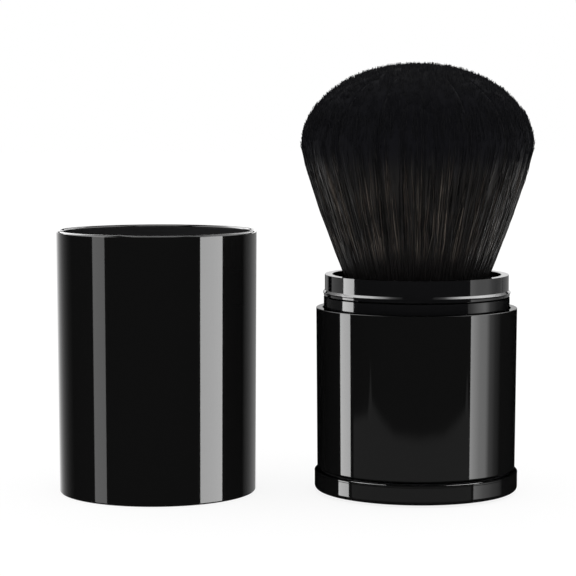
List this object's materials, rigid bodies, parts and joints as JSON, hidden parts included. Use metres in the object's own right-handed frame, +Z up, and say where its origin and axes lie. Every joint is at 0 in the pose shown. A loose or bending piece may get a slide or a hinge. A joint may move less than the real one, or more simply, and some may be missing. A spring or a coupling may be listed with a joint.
{
  "type": "retractable makeup brush",
  "caption": "Short round makeup brush with a flared hair head, a barrel that slides up round the hair, and a loose cylindrical cap.",
  "frame": {"origin": "centre of the underside of the foot pad, on the brush's axis, at table height", "axes": "+Z up along the brush's axis, the loose cap stands on the -X side, +Y away from the viewer"},
  "size_m": [0.095, 0.0465, 0.0856],
  "materials": {
    "lacquer_black": "piano black, polished",
    "abs_black": "moulded, gloss",
    "abs_matte": "moulded, satin",
    "acetal_white": "moulded",
    "ferrule_black": "black anodised",
    "resin": "cast, clear amber",
    "hair_black": "fine synthetic hair, satin",
    "silicone": "moulded, matt",
    "foot_rubber": "die cut, matt",
    "steel_plain": "turned, plain",
    "steel_zinc": "zinc plated"
  },
  "bodies": {
    "brush": {"foot_pad": "foot_rubber", "base_ring": "lacquer_black", "base_plate": "abs_matte", "base_screw": "steel_zinc", "base_weight": "steel_plain", "core_tube": "abs_matte", "carrier_head": "abs_matte", "friction_ring_lower": "silicone", "friction_ring_upper": "silicone", "ferrule": "ferrule_black", "resin_plug": "resin", "bristles": "hair_black"},
    "sleeve": {"stop_ring": "acetal_white", "barrel_liner": "abs_black", "barrel_shell": "lacquer_black", "neck_collar": "abs_black"},
    "cap": {"cap_shell": "lacquer_black", "cap_liner": "abs_matte"}
  },
  "joints": [
    {"name": "sleeve_slide", "type": "slide", "parent": "brush", "child": "sleeve", "axis": [0, 0, 1], "range_m": [0, 0.022], "deforming": ["bristles"]},
    {"name": "cap_lift", "type": "slide", "parent": "brush", "child": "cap", "axis": [0, 0, 1], "range_m": [0, 0.09]}
  ]
}
